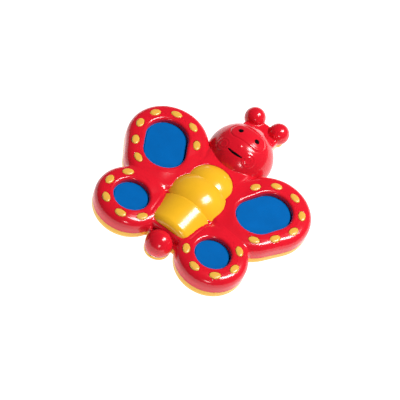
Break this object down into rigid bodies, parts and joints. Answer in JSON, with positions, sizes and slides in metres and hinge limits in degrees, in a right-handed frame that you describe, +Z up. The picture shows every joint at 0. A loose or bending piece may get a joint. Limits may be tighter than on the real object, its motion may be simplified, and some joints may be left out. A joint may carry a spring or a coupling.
{
  "type": "butterfly pull-cord yo-yo",
  "caption": "Butterfly-shaped first yo-yo: a red and yellow two-part shell with blue windows and domed studs, around a spring-return cord reel.",
  "frame": {"origin": "on the flat underside, on the axis of the cord reel", "axes": "+Z up out of the windowed face, +Y along the body towards the head and out of the cord guide, +X towards the wing on the right seen from above with the head away"},
  "size_m": [0.1122, 0.1173, 0.0247],
  "materials": {
    "red_gloss": "glossy moulded plastic",
    "yellow_gloss": "glossy moulded plastic",
    "blue_matte": "fine-grained matt plastic",
    "black_gloss": "glossy black",
    "ivory_acetal": "natural acetal",
    "spring_steel": "blued rolled strip",
    "zinc_steel": "zinc-plated"
  },
  "bodies": {
    "housing": {"top_shell": "red_gloss", "bottom_shell": "yellow_gloss", "body_cover": "yellow_gloss", "panel_upper_right": "blue_matte", "panel_upper_left": "blue_matte", "panel_lower_right": "blue_matte", "panel_lower_left": "blue_matte", "studs_upper_right": "yellow_gloss", "studs_upper_left": "yellow_gloss", "studs_lower_right": "yellow_gloss", "studs_lower_left": "yellow_gloss", "eyes": "black_gloss", "mouth": "black_gloss", "cord_guide": "ivory_acetal", "spring_arbor": "ivory_acetal", "thrust_washer": "zinc_steel", "spindle_screw": "zinc_steel", "case_screws": "zinc_steel"},
    "reel": {"reel_drum": "ivory_acetal", "reel_cover": "ivory_acetal", "power_spring": "spring_steel"}
  },
  "joints": [
    {"name": "reel_spin", "type": "hinge", "parent": "housing", "child": "reel", "pos_m": [0, 0, 0.0066], "axis": [0, 0, 1], "range_deg": [0, 2340], "stiffness_Nm_per_rad": 0.00016, "springref_deg": -3609.63}
  ]
}
